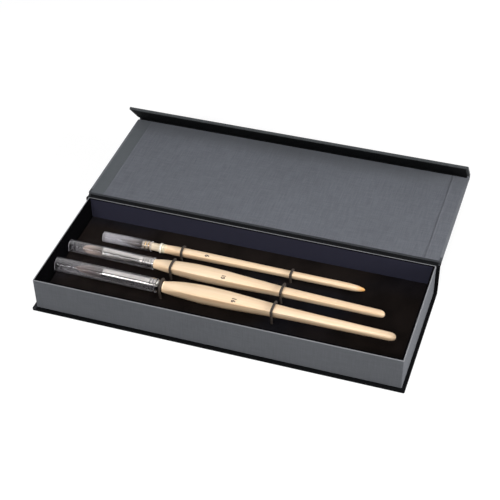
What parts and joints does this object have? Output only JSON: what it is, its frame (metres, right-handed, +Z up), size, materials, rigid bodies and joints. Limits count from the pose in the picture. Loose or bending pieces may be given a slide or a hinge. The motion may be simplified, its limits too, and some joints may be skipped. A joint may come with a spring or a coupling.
{
  "type": "brush box with hinged lid",
  "caption": "Cloth-covered gift box with a hinged lid and magnetic front flap; brushes lie in elastic loops on a velvet insert.",
  "frame": {"origin": "centre of the base's underside, which rests on the table", "axes": "+Z up, +X along the box's length to the right, +Y to the back, towards the hinge"},
  "size_m": [0.2954, 0.2293, 0.0527],
  "materials": {
    "grey_board": "raw grey board",
    "book_cloth": "fine linen-weave book cloth",
    "liner_paper": "linen-embossed paper",
    "glue_film": "adhesive film",
    "foam": "closed-cell foam",
    "velvet": "black flocked velvet",
    "elastic": "braided elastic cord",
    "barb_metal": "plain steel",
    "magnet": "nickel-plated magnet",
    "varnished_wood": "clear varnish",
    "quill": "translucent quill",
    "brass_wire": "polished wire",
    "nickel": "nickel-plated",
    "dark_hair": "squirrel-type hair",
    "brown_hair": "squirrel-type hair",
    "clear_film": "clear plastic film"
  },
  "bodies": {
    "tray": {"base_board": "grey_board", "base_cover": "book_cloth", "base_liner": "liner_paper", "spine_board": "grey_board", "spine_cover": "book_cloth", "base_crease_cloth": "book_cloth", "hinge_cloth": "book_cloth", "hinge_liner": "liner_paper", "tray_floor_board": "grey_board", "tray_front_board": "grey_board", "tray_back_board": "grey_board", "tray_left_board": "grey_board", "tray_right_board": "grey_board", "tray_magnets": "magnet", "tray_cover": "book_cloth", "tray_glue_sheet": "glue_film", "insert_foam": "foam", "insert_board": "grey_board", "velvet_cover": "velvet", "elastic_barbs": "barb_metal", "elastic_loop_1_head": "elastic", "elastic_loop_1_tail": "elastic", "elastic_loop_2_head": "elastic", "elastic_loop_2_tail": "elastic", "elastic_loop_3_head": "elastic", "elastic_loop_3_tail": "elastic"},
    "lid": {"lid_board": "grey_board", "lid_cover": "book_cloth", "lid_liner": "liner_paper"},
    "crease": {"crease_cloth": "book_cloth", "crease_liner": "liner_paper"},
    "flap": {"flap_board": "grey_board", "flap_cover": "book_cloth", "flap_liner": "liner_paper", "flap_magnets": "magnet"},
    "brush_1": {"brush_1_handle": "varnished_wood", "brush_1_quill": "quill", "brush_1_windings": "brass_wire", "brush_1_collar": "nickel", "brush_1_hair": "dark_hair"},
    "brush_2": {"brush_2_handle": "varnished_wood", "brush_2_ferrule": "nickel", "brush_2_hair": "brown_hair"},
    "brush_3": {"brush_3_handle": "varnished_wood", "brush_3_ferrule": "nickel", "brush_3_hair": "brown_hair"},
    "tube_1": {"tube_1": "clear_film"},
    "tube_2": {"tube_2": "clear_film"},
    "tube_3": {"tube_3": "clear_film"}
  },
  "joints": [
    {"name": "lid_hinge", "type": "hinge", "parent": "tray", "child": "lid", "pos_m": [0, 0.05825, 0.03], "axis": [1, 0, 0], "range_deg": [-11, 180], "deforming": ["hinge_cloth", "hinge_liner"]},
    {"name": "flap_crease", "type": "hinge", "parent": "lid", "child": "crease", "pos_m": [0, 0.17, 0.0308], "axis": [1, 0, 0], "range_deg": [-41.1, 2.6]},
    {"name": "flap_hinge", "type": "hinge", "parent": "crease", "child": "flap", "pos_m": [0, 0.17, 0.0308], "axis": [1, 0, 0], "range_deg": [-131, 0], "deforming": ["crease_cloth", "crease_liner"]},
    {"name": "brush_1_slide", "type": "slide", "parent": "tray", "child": "brush_1", "axis": [1, 0, 0], "range_m": [0, 0.0155], "deforming": ["elastic_loop_1_head", "elastic_loop_1_tail"]},
    {"name": "brush_2_slide", "type": "slide", "parent": "tray", "child": "brush_2", "axis": [0.9998, -0.0175, 0], "range_m": [0, 0.0232], "deforming": ["elastic_loop_2_head", "elastic_loop_2_tail"]},
    {"name": "brush_3_slide", "type": "slide", "parent": "tray", "child": "brush_3", "axis": [1, -0.0087, 0], "range_m": [0, 0.0102], "deforming": ["elastic_loop_3_head", "elastic_loop_3_tail"]},
    {"name": "tube_1_slide", "type": "slide", "parent": "tray", "child": "tube_1", "axis": [-1, 0, 0], "range_m": [-0.0065, 0.0225]},
    {"name": "tube_2_slide", "type": "slide", "parent": "tray", "child": "tube_2", "axis": [-0.9998, 0.0175, 0], "range_m": [0, 0.0027]},
    {"name": "tube_3_slide", "type": "slide", "parent": "tray", "child": "tube_3", "axis": [-1, 0.0087, 0], "range_m": [-0.0028, 0.0022]}
  ],
  "couplings": [
    {"joint": "flap_crease", "follows": "lid_hinge", "ratio": -0.22778}
  ]
}
